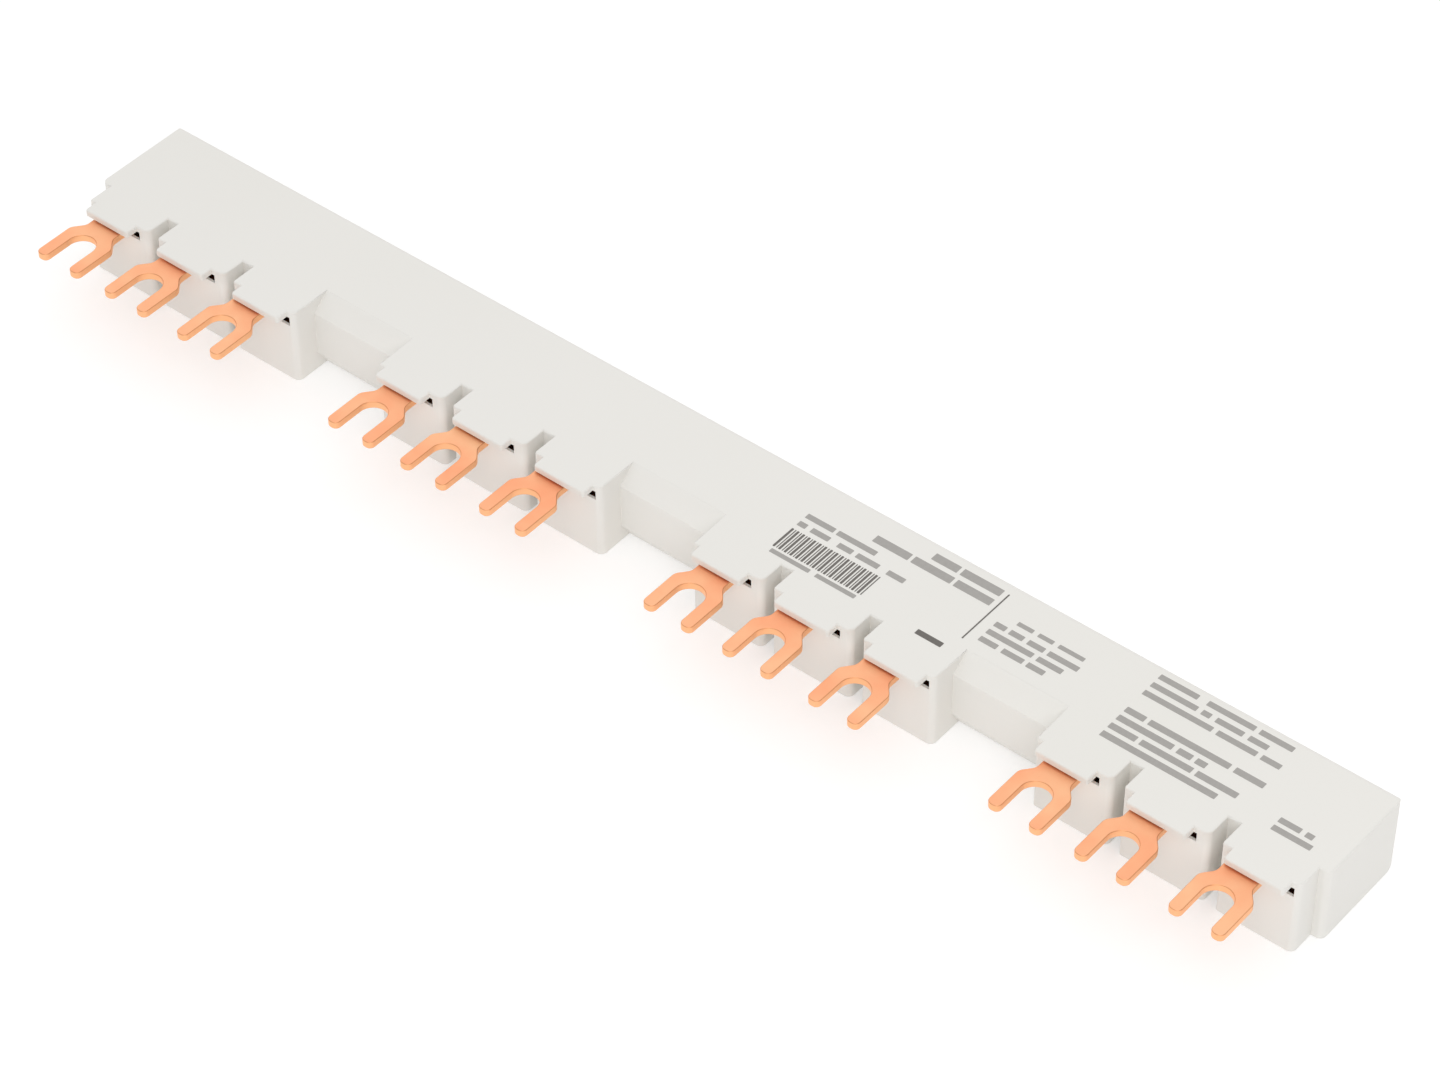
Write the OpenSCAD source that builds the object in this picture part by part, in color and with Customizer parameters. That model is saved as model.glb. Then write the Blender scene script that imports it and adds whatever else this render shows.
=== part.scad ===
// Three-phase comb busbar with fork tongues.
// A moulded housing with four groups of three front blocks holds three flat copper bars on
// edge, one behind the other, with an insulating strip between each two. Twelve bent copper
// tongues are welded to the bars and leave the housing through the slits of the blocks.
// The origin is the middle of the flat underside of the housing body, +X runs along the row,
// +Y points to the back, away from the tongues, and +Z points up to the printed face.

/* [Row] */
// Number of three-tongue groups
group_count = 4; // [1:1:6]
// Distance from one group to the next
group_pitch = 54; // [48:0.5:72]
// Length of body past the first and the last block
end_overhang = 1.6; // [1.5:0.1:6]

/* [Housing body] */
// Height of the housing
housing_h = 12.2; // [11.8:0.1:16]
// Thickness of the body's front wall
front_wall = 1.2; // [0.8:0.1:1.6]
// Thickness of the two end walls
end_wall = 1.4; // [1:0.1:3]
// Thickness of the floor
floor_t = 2; // [1.6:0.1:2.6]
// Thickness of the ceiling, and of the hoods that reach out over the tongues
ceiling_t = 1; // [0.6:0.05:1.2]
// Radius of the upright corners of the body
body_corner_r = 1; // [0.4:0.1:1.4]
// Radius of the long edge between the top and the back
back_edge_r = 0.7; // [0.3:0.1:0.8]
// Depth of the bevel between the back and the underside
back_bevel_y = 1.6; // [0.5:0.1:2]
// Height of the bevel between the back and the underside
back_bevel_z = 1.4; // [0.5:0.1:1.5]

/* [Recess between groups] */
// Depth of the upper slope
upper_slope_y = 2.8; // [1.5:0.1:3]
// Height of the upper slope
upper_slope_z = 2.4; // [1.5:0.1:2.6]
// Depth of the lower slope
lower_slope_y = 1.8; // [1:0.1:2]
// Height of the lower slope
lower_slope_z = 2.9; // [1.5:0.1:3.2]
// Thickness of the wall behind the upper slope
slope_wall = 0.9; // [0.7:0.1:1.2]

/* [Blocks] */
// Width of the left and the right block of a group
outer_block_w = 11.15; // [10.9:0.05:12.5]
// Width of the middle block of a group
middle_block_w = 12.4; // [11.8:0.05:13.5]
// Width of the slots between the blocks of a group
slot_w = 1.85; // [1:0.05:2.6]
// Depth of the blocks in front of the body
block_depth = 3.9; // [3:0.1:6]
// Radius of the upright right front corners of the blocks
block_right_r = 0.95; // [0.3:0.05:1]
// Radius of the upright left front corners of the blocks
block_left_r = 0.3; // [0.2:0.05:0.7]
// Thickness of the front wall of the blocks
block_wall = 1.2; // [0.8:0.1:1.8]
// Reach of the hoods in front of the blocks
hood_reach = 1.9; // [1:0.1:3]
// Radius of the front corners of the hoods
hood_corner_r = 0.4; // [0.2:0.05:0.5]
// Distance from the left end of a slit to its hood
hood_left_gap = 0.15; // [0.05:0.05:0.4]
// Distance from a hood to the right end of its slit
hood_right_gap = 0.45; // [0.1:0.05:0.8]

/* [Slits] */
// Thickness of the left wall of the first block of a group
first_left_wall = 0.8; // [0.7:0.05:1.4]
// Thickness of the left wall of the other blocks
left_wall = 1.3; // [0.7:0.05:1.35]
// Thickness of the right wall of the last block of a group
last_right_wall = 0.8; // [0.7:0.05:1.4]
// Thickness of the right wall of the other blocks, next to a slot
slot_side_wall = 1.75; // [1:0.05:2.4]
// Thickness of the lip under a slit, in front of its lead-in
lip_t = 0.4; // [0.3:0.05:0.8]
// Height of the lead-in that guides a tongue into its slit from inside
lead_in_h = 1.6; // [0.4:0.1:2]

/* [Tongues] */
// Thickness of the tongues' copper
tongue_t = 1.15; // [0.8:0.05:1.2]
// Reach of the tongues in front of the blocks
tongue_reach = 11.4; // [10.5:0.1:16]
// Width of the neck
neck_w = 5.1; // [4:0.1:5.2]
// Length of the neck in front of the blocks
neck_len = 3.1; // [2.5:0.1:4]
// Length of the slanted shoulders
shoulder_len = 1.7; // [1:0.1:2]
// Radius of the shoulders
shoulder_r = 1.4; // [0.4:0.1:2]
// Width of the fork
fork_w = 7.95; // [7.7:0.05:9]
// Width of the slot for the clamping screw
fork_slot_w = 4.2; // [3.6:0.1:4.6]
// Radius of the corners of the tips
tip_r = 0.8; // [0.3:0.05:0.8]
// Length of the slot, from its round end to the tips
fork_slot_len = 6.8; // [5.5:0.1:7]
// Inner radius of the bend inside the housing
bend_r = 0.8; // [0.4:0.1:1]
// Middle of the first tongue, from the left side of its block
tongue_1_x = 4.8; // [4.2:0.05:6]
// Middle of the second tongue, from the left side of its block
tongue_2_x = 4.55; // [4.2:0.05:7]
// Middle of the third tongue, from the left side of its block
tongue_3_x = 3.95; // [3.9:0.05:7]

/* [Bars] */
// Thickness of the bars
bar_t = 2; // [1.5:0.1:3]
// Height of the bars
bar_h = 5.4; // [4:0.1:5.8]
// Distance from the end walls to the ends of the bars
bar_end_gap = 0.8; // [0.2:0.1:3]
// Height of the tongues' welded feet above the lower edge of the bars
foot_lift = 1.2; // [0:0.1:3]
// Thickness of the insulating strips
insulator_t = 1.2; // [0.8:0.1:2]
// Clear width beside a tongue in an insulating strip's notch
notch_side = 0.7; // [0.3:0.1:1.2]
// Clear height under a tongue in an insulating strip's notch
notch_under = 0.7; // [0.3:0.1:1.2]

/* [Rear cover] */
// Thickness of the rear cover
cover_t = 1.6; // [1:0.1:2.5]

/* [Clearances] */
// Gap between the inner pieces that stand one behind the other
stack_gap = 0.17; // [0.05:0.01:0.3]
// Gap round the rear cover
cover_gap = 0.1; // [0.05:0.01:0.2]
// Gap between a tongue and the lip of its slit
lip_gap = 0.05; // [0.02:0.01:0.2]
// Gap between a tongue and the underside of its hood
hood_gap = 0.25; // [0.2:0.05:0.6]

/* [Hidden] */
$fn = 48;
arc_steps = 6;
more = 1;

plastic = [0.90, 0.89, 0.87];
cover_plastic = [0.86, 0.85, 0.83];
strip_plastic = [0.75, 0.74, 0.70];
copper = [0.95, 0.62, 0.45];
bar_copper = [0.80, 0.48, 0.33];

// Along the row
block_w = [outer_block_w, middle_block_w, outer_block_w];
block_x = [
    0,
    outer_block_w + slot_w,
    outer_block_w + middle_block_w + 2 * slot_w
];
left_walls = [first_left_wall, left_wall, left_wall];
right_walls = [slot_side_wall, slot_side_wall, last_right_wall];
tongue_x = [tongue_1_x, tongue_2_x, tongue_3_x];
group_w = 2 * outer_block_w + middle_block_w + 2 * slot_w;
housing_l = (group_count - 1) * group_pitch + group_w + 2 * end_overhang;
inner_l = housing_l - 2 * end_wall;
bar_l = inner_l - 2 * bar_end_gap;

// From front to back
phase_t = tongue_t + bar_t;
phase_pitch = phase_t + insulator_t + 2 * stack_gap;
stack_t = 2 * phase_pitch + phase_t + 2 * stack_gap;
body_depth = front_wall + stack_t + cover_t;
body_front = -body_depth / 2;
body_back = body_depth / 2;
block_front = body_front - block_depth;
hood_front = block_front - hood_reach;
tip_y = block_front - tongue_reach;
inner_front = body_front + front_wall;
cover_front = body_back - cover_t;
slit_cavity_back = inner_front + stack_gap + tongue_t + more;

// From bottom to top
ceiling_z = housing_h - ceiling_t;
tongue_top = ceiling_z - hood_gap;
tongue_z = tongue_top - tongue_t;
lip_z = tongue_z - lip_gap;
bar_z = floor_t + cover_gap;
bend_z = tongue_z - bend_r;

function group_left(g) = -housing_l / 2 + end_overhang + g * group_pitch;
function block_left(g, k) = group_left(g) + block_x[k];
function slit_left(g, k) = block_left(g, k) + left_walls[k];
function slit_right(g, k) = block_left(g, k) + block_w[k] - right_walls[k];
function tongue_mid(g, k) = block_left(g, k) + tongue_x[k];
function foot_front(k) = inner_front + stack_gap + k * phase_pitch;
function arc(c, r, a0, a1) =
    [for (i = [0:arc_steps]) let (a = a0 + (a1 - a0) * i / arc_steps) c + r * [cos(a), sin(a)]];

// A box between two corners
module block(low, high) {
    translate(low) cube(high - low);
}

// Turns a profile of Y and Z into a bar of the given length, middled on X
module along_x(length) {
    translate([-length / 2, 0, 0]) rotate([90, 0, 90]) linear_extrude(length) children();
}

// ---- Housing ----

module body_profile() {
    polygon(concat(
        [[body_front, 0], [body_back - back_bevel_y, 0], [body_back, back_bevel_z]],
        arc([body_back - back_edge_r, housing_h - back_edge_r], back_edge_r, 0, 90),
        [[body_front, housing_h]]
    ));
}

// A rectangle whose two front corners have the radii left_r and right_r
module front_rounded(low, high, left_r, right_r) {
    polygon(concat(
        arc([low.x + left_r, low.y + left_r], left_r, 180, 270),
        arc([high.x - right_r, low.y + right_r], right_r, 270, 360),
        [high, [low.x, high.y]]
    ));
}

module body_plan() {
    r = body_corner_r;
    polygon(concat(
        arc([-housing_l / 2 + r, body_front + r], r, 180, 270),
        arc([housing_l / 2 - r, body_front + r], r, 270, 360),
        arc([housing_l / 2 - r, body_back - r], r, 0, 90),
        arc([-housing_l / 2 + r, body_back - r], r, 90, 180)
    ));
}

module body_solid() {
    intersection() {
        along_x(housing_l) body_profile();
        linear_extrude(housing_h) body_plan();
    }
}

// The slopes at the top and the foot of the recess after group g
module recess_slopes(g) {
    recess_w = group_pitch - group_w;
    translate([group_left(g) + group_w + recess_w / 2, 0, 0]) {
        along_x(recess_w) polygon([
            [body_front - more, housing_h + more],
            [body_front - more, housing_h - upper_slope_z],
            [body_front, housing_h - upper_slope_z],
            [body_front + upper_slope_y, housing_h],
            [body_front + upper_slope_y, housing_h + more]
        ]);
        along_x(recess_w) polygon([
            [body_front - more, -more],
            [body_front + lower_slope_y, -more],
            [body_front + lower_slope_y, 0],
            [body_front, lower_slope_z],
            [body_front - more, lower_slope_z]
        ]);
    }
}

module front_block(g, k) {
    x0 = block_left(g, k);
    linear_extrude(housing_h)
        front_rounded([x0, block_front], [x0 + block_w[k], body_front + more],
            block_left_r, block_right_r);
    translate([0, 0, ceiling_z]) linear_extrude(ceiling_t)
        front_rounded([slit_left(g, k) + hood_left_gap, hood_front],
            [slit_right(g, k) - hood_right_gap, block_front + more],
            hood_corner_r, hood_corner_r);
}

// The long hollow for the bars, open at the back
module body_cavity() {
    slope = upper_slope_z / upper_slope_y;
    drop = slope_wall * sqrt(1 + slope * slope);
    slope_foot_z = housing_h - upper_slope_z - drop + front_wall * slope;
    slope_head_y = body_front + (ceiling_z - housing_h + upper_slope_z + drop) / slope;
    along_x(inner_l) polygon([
        [inner_front, floor_t],
        [body_back + more, floor_t],
        [body_back + more, ceiling_z],
        [slope_head_y, ceiling_z],
        [inner_front, slope_foot_z]
    ]);
}

// The hollow in one block, the slit that the tongue leaves by, and the lead-in behind its lip
module block_cavity(g, k) {
    x0 = slit_left(g, k);
    x1 = slit_right(g, k);
    block([x0, block_front + block_wall, floor_t], [x1, slit_cavity_back, ceiling_z]);
    block([x0, block_front - more, lip_z], [x1, block_front + block_wall + more, ceiling_z]);
    translate([(x0 + x1) / 2, 0, 0]) along_x(x1 - x0) polygon([
        [block_front + lip_t, tongue_top],
        [block_front + lip_t, lip_z],
        [block_front + block_wall, lip_z - lead_in_h],
        [block_front + block_wall + more, lip_z - lead_in_h],
        [block_front + block_wall + more, tongue_top]
    ]);
}

module housing() {
    color(plastic) difference() {
        union() {
            difference() {
                body_solid();
                if (group_count > 1)
                    for (g = [0:group_count - 2]) recess_slopes(g);
            }
            for (g = [0:group_count - 1], k = [0:2]) front_block(g, k);
        }
        body_cavity();
        for (g = [0:group_count - 1], k = [0:2]) block_cavity(g, k);
    }
}

module rear_cover() {
    color(cover_plastic)
        block([-inner_l / 2 + cover_gap, cover_front, floor_t + cover_gap],
            [inner_l / 2 - cover_gap, body_back, ceiling_z - cover_gap]);
}

// ---- Copper ----

module bar(k) {
    y0 = foot_front(k) + tongue_t;
    color(bar_copper)
        block([-bar_l / 2, y0, bar_z], [bar_l / 2, y0 + bar_t, bar_z + bar_h]);
}

// Outline of neck, shoulders and prongs, with y = 0 at the front of the blocks
module tongue_plan(back) {
    r = shoulder_r;
    turn = atan2((fork_w - neck_w) / 2, shoulder_len);
    inset = r * tan(turn / 2);
    fork_back = -neck_len - shoulder_len;
    prong_end = -tongue_reach + tip_r;
    difference() {
        union() {
            for (s = [-1, 1]) scale([s, 1]) {
                polygon(concat(
                    [[0, back], [neck_w / 2, back]],
                    arc([neck_w / 2 + r, -neck_len + inset], r, 180, 180 + turn),
                    arc([fork_w / 2 - r, fork_back - inset], r, turn, 0),
                    [[fork_w / 2, prong_end], [0, prong_end]]
                ));
                front_rounded([fork_slot_w / 2, -tongue_reach], [fork_w / 2, prong_end + tip_r],
                    tip_r, tip_r);
            }
        }
        translate([-fork_slot_w / 2, -tongue_reach - more])
            square([fork_slot_w, fork_slot_len - fork_slot_w / 2 + more]);
    }
}

module tongue(g, k) {
    foot_y = foot_front(k);
    foot_z = bar_z + foot_lift;
    neck_back = foot_y - bend_r - block_front;
    slot_end = -tongue_reach + fork_slot_len - fork_slot_w / 2;
    color(copper) translate([tongue_mid(g, k), 0, 0]) {
        difference() {
            translate([0, block_front, tongue_z]) linear_extrude(tongue_t) tongue_plan(neck_back);
            translate([0, block_front + slot_end, tongue_z - more])
                cylinder(h = tongue_t + 2 * more, d = fork_slot_w);
        }
        translate([-neck_w / 2, foot_y - bend_r, bend_z])
            rotate([0, 90, 0]) rotate([0, 0, 90])
                rotate_extrude(angle = 90) translate([bend_r, 0]) square([tongue_t, neck_w]);
        block([-neck_w / 2, foot_y, foot_z], [neck_w / 2, foot_y + tongue_t, bend_z]);
    }
}

// ---- Insulating strips ----

// The strip behind bar k lets the tongues of the bars behind it pass through its notches
module insulator(k) {
    y0 = foot_front(k) + phase_t + stack_gap;
    color(strip_plastic) difference() {
        block([-inner_l / 2 + cover_gap, y0, floor_t + cover_gap],
            [inner_l / 2 - cover_gap, y0 + insulator_t, ceiling_z - cover_gap]);
        for (g = [0:group_count - 1], j = [k + 1:2])
            translate([tongue_mid(g, j), 0, 0])
                block([-neck_w / 2 - notch_side, y0 - more, tongue_z - notch_under],
                    [neck_w / 2 + notch_side, y0 + insulator_t + more, housing_h]);
    }
}

housing();
rear_cover();
bar(0);  // bar_1
bar(1);  // bar_2
bar(2);  // bar_3
insulator(0);  // front_insulator
insulator(1);  // rear_insulator
tongue(0, 0);  // tongue_01
tongue(0, 1);  // tongue_02
tongue(0, 2);  // tongue_03
tongue(1, 0);  // tongue_04
tongue(1, 1);  // tongue_05
tongue(1, 2);  // tongue_06
tongue(2, 0);  // tongue_07
tongue(2, 1);  // tongue_08
tongue(2, 2);  // tongue_09
tongue(3, 0);  // tongue_10
tongue(3, 1);  // tongue_11
tongue(3, 2);  // tongue_12
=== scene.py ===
"""Comb busbar: twelve copper fork tongues in four groups, held in a long pale grey housing."""

from math import radians

import bmesh
import bpy
from mathutils import Matrix, Vector


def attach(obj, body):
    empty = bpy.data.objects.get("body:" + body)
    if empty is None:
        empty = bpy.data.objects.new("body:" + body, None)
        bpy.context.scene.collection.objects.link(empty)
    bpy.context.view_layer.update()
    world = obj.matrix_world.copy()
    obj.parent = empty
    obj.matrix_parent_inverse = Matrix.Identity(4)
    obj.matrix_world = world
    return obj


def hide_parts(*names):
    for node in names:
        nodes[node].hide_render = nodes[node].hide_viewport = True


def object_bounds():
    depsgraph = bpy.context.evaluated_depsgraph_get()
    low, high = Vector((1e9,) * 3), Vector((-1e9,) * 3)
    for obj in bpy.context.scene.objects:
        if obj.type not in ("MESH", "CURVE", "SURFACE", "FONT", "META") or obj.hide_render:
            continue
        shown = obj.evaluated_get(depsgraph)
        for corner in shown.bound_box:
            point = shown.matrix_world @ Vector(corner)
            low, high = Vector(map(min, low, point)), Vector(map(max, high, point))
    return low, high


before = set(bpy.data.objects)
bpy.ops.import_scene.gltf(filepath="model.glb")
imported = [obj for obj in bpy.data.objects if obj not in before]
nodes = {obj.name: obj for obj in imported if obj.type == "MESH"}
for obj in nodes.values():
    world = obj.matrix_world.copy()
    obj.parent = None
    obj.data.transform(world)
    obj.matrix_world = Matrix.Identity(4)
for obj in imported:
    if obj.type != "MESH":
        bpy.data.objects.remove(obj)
cad_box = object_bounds()

# ---- Housing ----
# One long injection moulding in light grey polyamide, closed on top and open at the back.
# Twelve blocks with a slit each let the tongues out under short hoods.
# The mould's edges are rounded a little and its walls are spark-eroded to a fine matt.

HOUSING_EDGE = 0.00026
# The top face is lowered by the thickness of its print, which then ends at the part's full height
INK_FILM = 0.00002
FLOW_SIZE = 0.045
# The eroded grain is about 0.05 mm on the real part. It is drawn at 0.3 mm so that it shows.
GRAIN_SIZE = 0.0003
GRAIN_DEPTH = 0.000012
# Points of a CAD mesh that are closer than this are one point
SAME_POINT = 0.000002
# Faces that turn less than this against each other are shaded as one surface
SMOOTH_TURN = radians(34)


def linear(hex_colour):
    """An sRGB hex colour as linear red, green, blue and alpha."""
    values = [int(hex_colour[i : i + 2], 16) / 255 for i in (0, 2, 4)]
    return [v / 12.92 if v <= 0.04045 else ((v + 0.055) / 1.055) ** 2.4 for v in values] + [1]


def set_inputs(owner, node, **inputs):
    """Sets inputs of a node of a material or of the world.

    A name is the socket's with _ for a space, or _ and its number. A value is a number, a colour
    or an output of another node.
    """
    for name, value in inputs.items():
        key = int(name[1:]) if name[1:].isdigit() else name.replace("_", " ")
        if isinstance(value, bpy.types.NodeSocket):
            owner.node_tree.links.new(value, node.inputs[key])
        else:
            node.inputs[key].default_value = value


def add_node(owner, kind, settings=None, **inputs):
    """Adds a node with its settings and its inputs."""
    node = owner.node_tree.nodes.new(kind)
    for name, value in (settings or {}).items():
        setattr(node, name, value)
    set_inputs(owner, node, **inputs)
    return node


def noise(material, place, size=1.0, detail=2.0):
    """Clouds of a size in metres, from 0 to 1."""
    clouds = add_node(material, "ShaderNodeTexNoise", Vector=place, Scale=1 / size, Detail=detail)
    return clouds.outputs["Fac"]


def ranged(owner, value, low, high, start=0.0, end=1.0):
    """A value that runs from start to end, mapped to run from low to high."""
    mapped = add_node(
        owner,
        "ShaderNodeMapRange",
        Value=value,
        From_Min=start,
        From_Max=end,
        To_Min=low,
        To_Max=high,
    )
    return mapped.outputs[0]


def blend(material, factor, first, second):
    """A colour between two, each an sRGB hex colour or an output of another node."""
    first, second = (linear(c) if isinstance(c, str) else c for c in (first, second))
    mix = add_node(
        material, "ShaderNodeMix", {"data_type": "RGBA"}, Factor=factor, _6=first, _7=second
    )
    return mix.outputs[2]


def new_material(name):
    """An empty node material and its shader."""
    material = bpy.data.materials.new(name)
    material.use_nodes = True
    return material, material.node_tree.nodes["Principled BSDF"]


def places(material):
    """The place of each point in metres, in the frame of the part."""
    return add_node(material, "ShaderNodeTexCoord").outputs["Object"]


def merged_copy(node_name):
    """A CAD piece's mesh as a bmesh of whole flat faces, ready for its edges to be worked."""
    shape = bmesh.new()
    shape.from_mesh(nodes[node_name].data)
    bmesh.ops.remove_doubles(shape, verts=shape.verts, dist=SAME_POINT)
    bmesh.ops.dissolve_limit(
        shape, angle_limit=radians(0.5), verts=shape.verts, edges=shape.edges
    )
    return shape


def round_edges(shape, edges, radius, segments=3):
    """Rounds edges of a bmesh, which keeps its other faces where they are."""
    bmesh.ops.bevel(
        shape,
        geom=edges,
        offset=radius,
        segments=segments,
        profile=0.5,
        affect="EDGES",
        material=-1,
        clamp_overlap=False,
    )


def stand_for(node_name, shape, material):
    """Makes the worked mesh the piece that stands for a CAD piece."""
    for face in shape.faces:
        face.smooth = True
    mesh = bpy.data.meshes.new(node_name + "_soft")
    shape.to_mesh(mesh)
    shape.free()
    mesh.set_sharp_from_angle(angle=SMOOTH_TURN)
    mesh.materials.append(material)
    piece = bpy.data.objects.new(node_name + "_soft", mesh)
    bpy.context.scene.collection.objects.link(piece)
    level = piece.modifiers.new("level_faces", "WEIGHTED_NORMAL")
    level.keep_sharp = True
    level.weight = 100
    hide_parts(node_name)
    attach(piece, "root")


# Moulded polyamide: dull, a touch warm, with faint clouds where the melt flowed
housing_plastic, shader = new_material("moulded_polyamide_light_grey")
place = places(housing_plastic)
flow = noise(housing_plastic, place, FLOW_SIZE)
grain = noise(housing_plastic, place, GRAIN_SIZE, 3.0)
relief = add_node(
    housing_plastic, "ShaderNodeBump", Height=grain, Distance=GRAIN_DEPTH, Strength=0.6
)
set_inputs(
    housing_plastic,
    shader,
    Base_Color=blend(housing_plastic, flow, "E8E6E2", "E4E2DC"),
    Roughness=ranged(housing_plastic, grain, 0.5, 0.62),
    Normal=relief.outputs["Normal"],
    IOR=1.53,
)

# Only the outline of the top face and of the underside is rounded. A point counts as on such
# a face when it is this near to it, and as on the flat top that is left when it is nearer still.
TOP = cad_box[1].z
ON_FACE = 0.00001
ON_FLAT_TOP = 0.000001

shell = merged_copy("housing")
outline = []
for edge in shell.edges:
    if len(edge.link_faces) != 2 or edge.calc_face_angle(0) < radians(30):
        continue
    facing_down, facing_up = sorted(face.normal.z for face in edge.link_faces)
    low, high = sorted(corner.co.z for corner in edge.verts)
    around_top = low > TOP - ON_FACE and facing_up > 0.9 and facing_down < 0.3
    around_underside = high < ON_FACE and facing_down < -0.9
    if around_top or around_underside:
        outline.append(edge)
round_edges(shell, outline, HOUSING_EDGE)
for corner in shell.verts:
    if corner.co.z > TOP - ON_FLAT_TOP:
        corner.co.z -= INK_FILM
stand_for("housing", shell, housing_plastic)

# ---- Print on the top face ----
# A thin film of grey ink, pad printed on the housing, for the marking of such a part.
# Each word is a plain bar, and the code is a field of even stripes. The marks are left bare.

BAR_CORNER = 0.00008
# The pad lays the ink a little unevenly over the grain of the plastic
INK_GRAIN = 0.0004
# The field of stripes in millimetres: a wide and a narrow stripe in each pitch
CODE_LEFT, STRIPE_PITCH, STRIPE_PAIRS = 15.9, 0.9, 16
WIDE_STRIPE, NARROW_STRIPE = (0, 0.34), (0.58, 0.72)


def words(low, high, *spans):
    """One line of words in millimetres: its height from low to high, and each word's span."""
    return [(left, right, low, high) for left, right in spans]


def pad_print(name, bars, colour, rest):
    """Bars of one ink. A bar is its left, right, lower and upper side in millimetres."""
    film = bmesh.new()
    for left, right, low, high in bars:
        size = Vector(((right - left) / 1000, (high - low) / 1000, 2 * INK_FILM))
        middle = Vector(((left + right) / 2000, (low + high) / 2000, TOP - INK_FILM))
        bmesh.ops.create_cube(film, size=1, matrix=Matrix.LocRotScale(middle, None, size))
    upright = [e for e in film.edges if abs(e.verts[0].co.z - e.verts[1].co.z) > INK_FILM]
    round_edges(film, upright, BAR_CORNER, 2)
    ink, shader = new_material(name)
    cover = noise(ink, places(ink), INK_GRAIN)
    set_inputs(ink, shader, Base_Color=blend(ink, cover, colour, rest), Roughness=0.55)
    mesh = bpy.data.meshes.new(name)
    film.to_mesh(mesh)
    film.free()
    mesh.materials.append(ink)
    piece = bpy.data.objects.new(name, mesh)
    bpy.context.scene.collection.objects.link(piece)
    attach(piece, "root")


pad_print(
    "print_words",
    words(4.8, 6.1, (33.0, 37.0), (37.5, 43.7))
    + words(2.7, 4.0, (25.2, 30.8), (31.3, 37.5), (38.0, 43.7))
    + words(0.7, 1.6, (15.9, 20.4), (20.9, 27.1))
    + words(-1.0, -0.1, (15.9, 17.2), (18.0, 20.9), (22.3, 24.6), (25.3, 28.8), (30.2, 32.9))
    + words(-7.0, -6.3, (16.2, 22.5), (23.5, 29.8))
    + words(2.1, 2.8, (48.4, 50.8), (51.6, 53.9), (54.7, 58.6))
    + words(0.2, 1.1, (46.2, 47.9), (48.5, 50.6), (51.3, 53.8), (54.4, 59.0))
    + words(-1.4, -0.5, (46.2, 53.2), (53.9, 57.7))
    + words(-3.0, -2.1, (46.2, 48.9), (49.7, 52.9), (53.5, 56.1))
    + words(5.6, 6.5, (67.4, 73.2), (74.6, 81.6), (82.3, 87.2))
    + words(3.9, 4.8, (67.4, 74.2), (74.9, 76.2), (77.0, 81.0), (81.8, 84.6))
    + words(2.2, 3.1, (67.4, 77.6), (78.3, 84.1), (84.8, 87.6))
    + words(-1.6, -0.6, (67.4, 70.3), (70.9, 82.8), (83.5, 87.8))
    + words(-3.3, -2.3, (67.4, 75.6), (76.3, 78.4), (79.0, 80.5))
    + words(-5.0, -4.0, (67.4, 71.4), (72.0, 79.6), (80.2, 86.2))
    + words(-6.7, -5.7, (67.4, 84.3))
    + words(-4.9, -4.0, (92.2, 95.3), (96.0, 97.1))
    + words(-6.4, -5.5, (92.2, 97.8)),
    "9D9A96",
    "A9A6A2",
)
stripes = []
for step in range(STRIPE_PAIRS):
    left = CODE_LEFT + step * STRIPE_PITCH
    spans = [(left + start, left + end) for start, end in (WIDE_STRIPE, NARROW_STRIPE)]
    stripes += words(-5.9, -1.8, *spans)
pad_print(
    "print_stripes_and_rules",
    stripes + words(-7.0, -6.1, (39.4, 43.4)) + words(-4.0, 5.9, (44.45, 44.65)),
    "5F5B57",
    "706C67",
)

# ---- Rear cover ----
# A flat moulded strip of the same polyamide as the housing.
# It is pressed into the open back to close it, and its edges are rounded all round.

COVER_EDGE = 0.0002

cover_plastic = housing_plastic.copy()
cover_plastic.name = "moulded_polyamide_cover"
cover = merged_copy("rear_cover")
round_edges(cover, cover.edges[:], COVER_EDGE)
stand_for("rear_cover", cover, cover_plastic)

# ---- Phase bars ----
# Three flat drawn copper bars on edge, one for each phase, hidden in the housing.
# They show fine draw lines along their length and lie in the long hollow, with strips between.

DRAW_LINE_LENGTH, DRAW_LINE_WIDTH = 0.05, 0.0004

bar_copper, shader = new_material("drawn_copper")
along = add_node(
    bar_copper,
    "ShaderNodeMapping",
    Vector=places(bar_copper),
    Scale=(1 / DRAW_LINE_LENGTH, 1 / DRAW_LINE_WIDTH, 1 / DRAW_LINE_WIDTH),
)
draw_lines = noise(bar_copper, along.outputs[0])
set_inputs(
    bar_copper,
    shader,
    Base_Color=blend(bar_copper, draw_lines, "D98A62", "C2744F"),
    Roughness=ranged(bar_copper, draw_lines, 0.3, 0.45),
    Metallic=1.0,
)
for name in ("bar_1", "bar_2", "bar_3"):
    nodes[name].data.materials.clear()
    nodes[name].data.materials.append(bar_copper)

# ---- Insulating strips ----
# Two extruded strips of the same light grey plastic, slid in between the phase bars.
# They are punched with notches where the tongues of the bars behind pass to the front.

strip_plastic = housing_plastic.copy()
strip_plastic.name = "extruded_insulating_strip"
for name in ("front_insulator", "rear_insulator"):
    nodes[name].data.materials.clear()
    nodes[name].data.materials.append(strip_plastic)

# ---- Tongues ----
# Twelve stampings of bare copper strip, bent at the foot, welded to their bars, forked at the tip.
# The faces are rolled and satin. The upright sheared faces are a little lighter, partly as the
# sheared copper and partly as painted light on the sides.
# Tumbling has broken the burrs, and a narrow dark line of painted shade lies on the rounded edges.

TONGUE_EDGE = 0.00016
TONE_SIZE = 0.009
TARNISH_SIZE = 0.003
TARNISH_SHARE = 0.35
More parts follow.
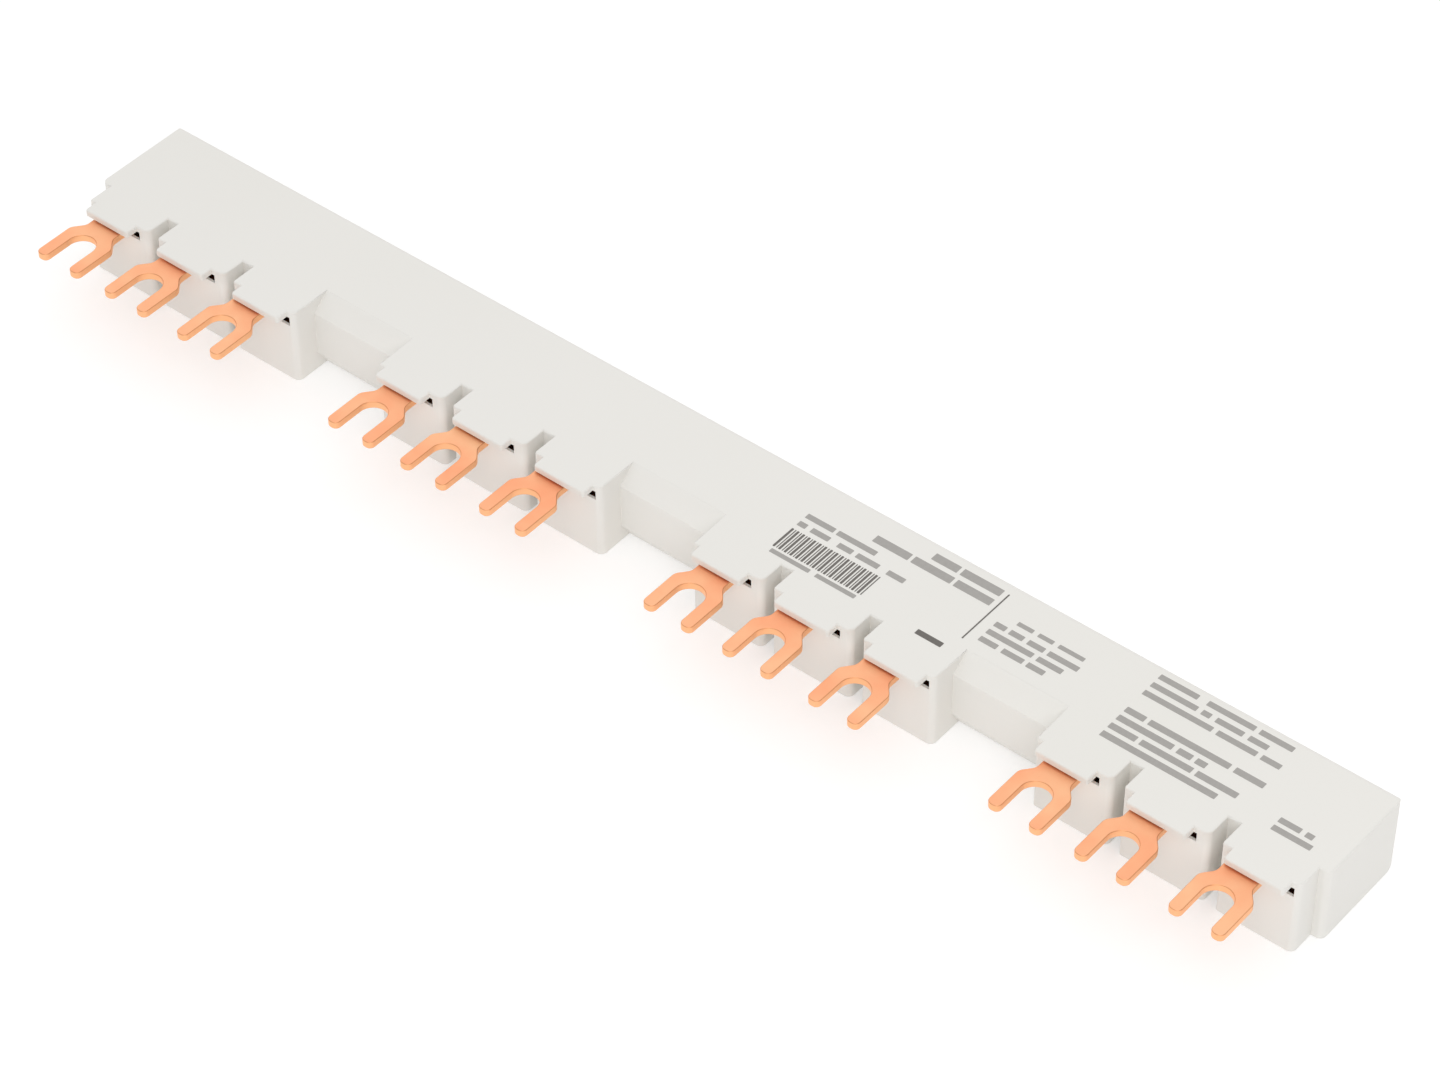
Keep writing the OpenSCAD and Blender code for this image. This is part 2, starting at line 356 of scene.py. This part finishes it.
# The rolled grain runs along the tongues, twenty times as long as it is wide
ROLLING_WIDTH, ROLLING_LENGTH = 0.00025, 0.005
ROLLING_DEPTH = 0.000006
# How level a surface is, from 0 when upright to 1 when flat: upright is sheared copper with
# painted light on the sides, the rest rolled
SHEARED_PAINTED_LIGHT_BELOW, ROLLED_ABOVE = 0.35, 0.85
# Where a rounded edge turns from flat to upright, a band of painted shade is laid
PAINTED_SHADE_LEVEL, PAINTED_SHADE_SPREAD = 0.62, 0.22

tongue_copper, shader = new_material("stamped_copper_satin")
place = places(tongue_copper)
tarnish = noise(tongue_copper, place, TARNISH_SIZE, 3.0)
tone = add_node(
    tongue_copper,
    "ShaderNodeMath",
    {"operation": "MULTIPLY_ADD"},
    _0=tarnish,
    _1=TARNISH_SHARE,
    _2=noise(tongue_copper, place, TONE_SIZE, 1.0),
)
spread = ranged(tongue_copper, tone.outputs[0], 0.0, 1.0, 0.45, 0.9)
rolled_colour = blend(tongue_copper, spread, "FFC599", "FFAF84")

facing = add_node(tongue_copper, "ShaderNodeNewGeometry").outputs["Normal"]
upward = add_node(tongue_copper, "ShaderNodeSeparateXYZ", Vector=facing).outputs["Z"]
flatness = add_node(
    tongue_copper, "ShaderNodeMath", {"operation": "ABSOLUTE"}, _0=upward
).outputs[0]
# The upright faces get FFC190: partly the sheared copper's own colour, partly painted light on the
# sides
sheared_with_painted_light = ranged(tongue_copper, flatness, 1.0, 0.0, SHEARED_PAINTED_LIGHT_BELOW, ROLLED_ABOVE)
copper_colour = blend(tongue_copper, sheared_with_painted_light, rolled_colour, "FFC190")
# Painted shade: a dark band on the rounded edges, between flat and upright
painted_edge_shade = add_node(
    tongue_copper,
    "ShaderNodeMath",
    {"operation": "COMPARE"},
    _0=flatness,
    _1=PAINTED_SHADE_LEVEL,
    _2=PAINTED_SHADE_SPREAD,
)

across = add_node(
    tongue_copper,
    "ShaderNodeMapping",
    Vector=place,
    Scale=(1 / ROLLING_WIDTH, 1 / ROLLING_LENGTH, 1 / ROLLING_WIDTH),
)
relief = add_node(
    tongue_copper,
    "ShaderNodeBump",
    Height=noise(tongue_copper, across.outputs[0]),
    Distance=ROLLING_DEPTH,
    Strength=0.5,
)
# The last blend lays the painted shade, E6A274, on the rounded edges
set_inputs(
    tongue_copper,
    shader,
    Base_Color=blend(tongue_copper, painted_edge_shade.outputs[0], copper_colour, "E6A274"),
    Roughness=ranged(tongue_copper, tarnish, 0.38, 0.52),
    Normal=relief.outputs["Normal"],
    Metallic=1.0,
)

for number in range(1, 13):
    name = f"tongue_{number:02d}"
    blank = merged_copy(name)
    rims = [edge for edge in blank.edges if edge.calc_face_angle(0) > radians(50)]
    round_edges(blank, rims, TONGUE_EDGE)
    stand_for(name, blank, tongue_copper)

# ---- Studio ----
# A lit white table in a white tent, with one soft box over the camera, so that hardly a shadow
# falls. The tent is lit from above and behind, where the copper mirrors it, and dim in front.

TABLE_SIZE = 4
TENT_BRIGHT_SIDE = (-0.46, 0.45, 0.765)
TENT_DIM, TENT_BRIGHT = 0.31, 1.04
# How far a direction points to the bright side, from -1 to 1, where the tent is dimmest
TENT_DIM_UP_TO = -0.7

bpy.ops.mesh.primitive_plane_add(size=TABLE_SIZE, location=(0, 0, cad_box[0].z))
floor = bpy.context.object
floor.name = "floor"
floor_paint, shader = new_material("matt_white_floor")
set_inputs(
    floor_paint,
    shader,
    Base_Color=linear("E0E0E0"),
    Emission_Color=linear("FFFFFF"),
    Emission_Strength=0.31,
    Roughness=0.9,
)
floor.data.materials.append(floor_paint)

scene = bpy.context.scene
scene.view_settings.view_transform = "Standard"
world = bpy.data.worlds.new("tent")
world.use_nodes = True
aim = add_node(world, "ShaderNodeTexCoord").outputs["Generated"]
towards = add_node(
    world, "ShaderNodeVectorMath", {"operation": "DOT_PRODUCT"}, _0=aim, _1=TENT_BRIGHT_SIDE
)
set_inputs(
    world,
    world.node_tree.nodes["Background"],
    Color=linear("FFFFFF"),
    Strength=ranged(world, towards.outputs["Value"], TENT_DIM, TENT_BRIGHT, TENT_DIM_UP_TO),
)
scene.world = world

soft_box = bpy.data.lights.new("soft_box", "AREA")
soft_box.energy = 3.0
soft_box.size = 0.7
lamp = bpy.data.objects.new("soft_box", soft_box)
lamp.location = (0.45, -0.55, 0.65)
lamp.rotation_euler = lamp.location.to_track_quat("Z", "Y").to_euler()
scene.collection.objects.link(lamp)

lens = bpy.data.cameras.new("camera")
lens.lens = 111.3
lens.sensor_width = 36
lens.clip_start = 0.01
camera = bpy.data.objects.new("camera", lens)
camera.location = (0.26922, -0.32319, 0.40374)
camera.rotation_euler = (radians(46.106), radians(0.228), radians(39.317))
scene.collection.objects.link(camera)
scene.camera = camera

bpy.context.view_layer.update()
